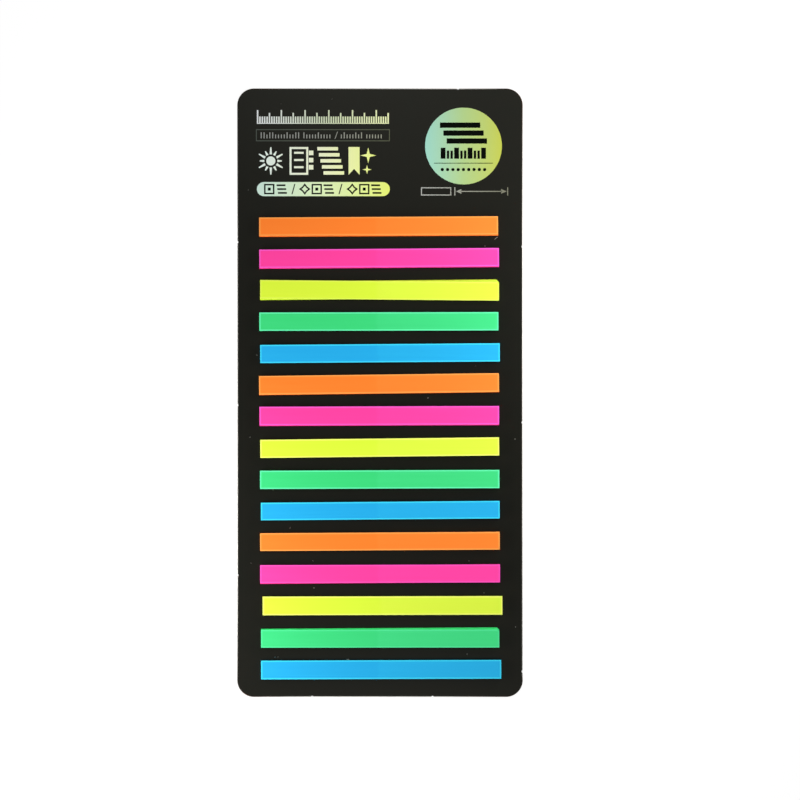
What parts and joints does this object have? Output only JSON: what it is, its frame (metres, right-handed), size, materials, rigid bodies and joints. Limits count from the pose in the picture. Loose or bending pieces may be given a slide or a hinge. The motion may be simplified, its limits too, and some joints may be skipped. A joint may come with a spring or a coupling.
{
  "type": "sticky index tabs",
  "caption": "Column of pads of narrow fluorescent film index tabs, glued over their left half and stuck across a black card with round corners.",
  "frame": {"origin": "middle of the card's flat back, on which it lies", "axes": "+X along the tabs to their free ends, +Y up the card to its header, +Z out of the card's front"},
  "size_m": [0.0596, 0.1268, 0.002],
  "materials": {
    "card_print": "satin",
    "film_orange": "satin",
    "film_pink": "satin",
    "film_yellow": "satin",
    "film_green": "satin",
    "film_blue": "satin"
  },
  "bodies": {
    "root": {"backing_card": "card_print", "pad_01_orange": "film_orange", "pad_02_pink": "film_pink", "pad_03_yellow": "film_yellow", "pad_04_green": "film_green", "pad_05_blue": "film_blue", "pad_06_orange": "film_orange", "pad_07_pink": "film_pink", "pad_08_yellow": "film_yellow", "pad_09_green": "film_green", "pad_10_blue": "film_blue", "pad_11_orange": "film_orange", "pad_12_pink": "film_pink", "pad_13_yellow": "film_yellow", "pad_14_green": "film_green", "pad_15_blue": "film_blue"}
  },
  "joints": []
}
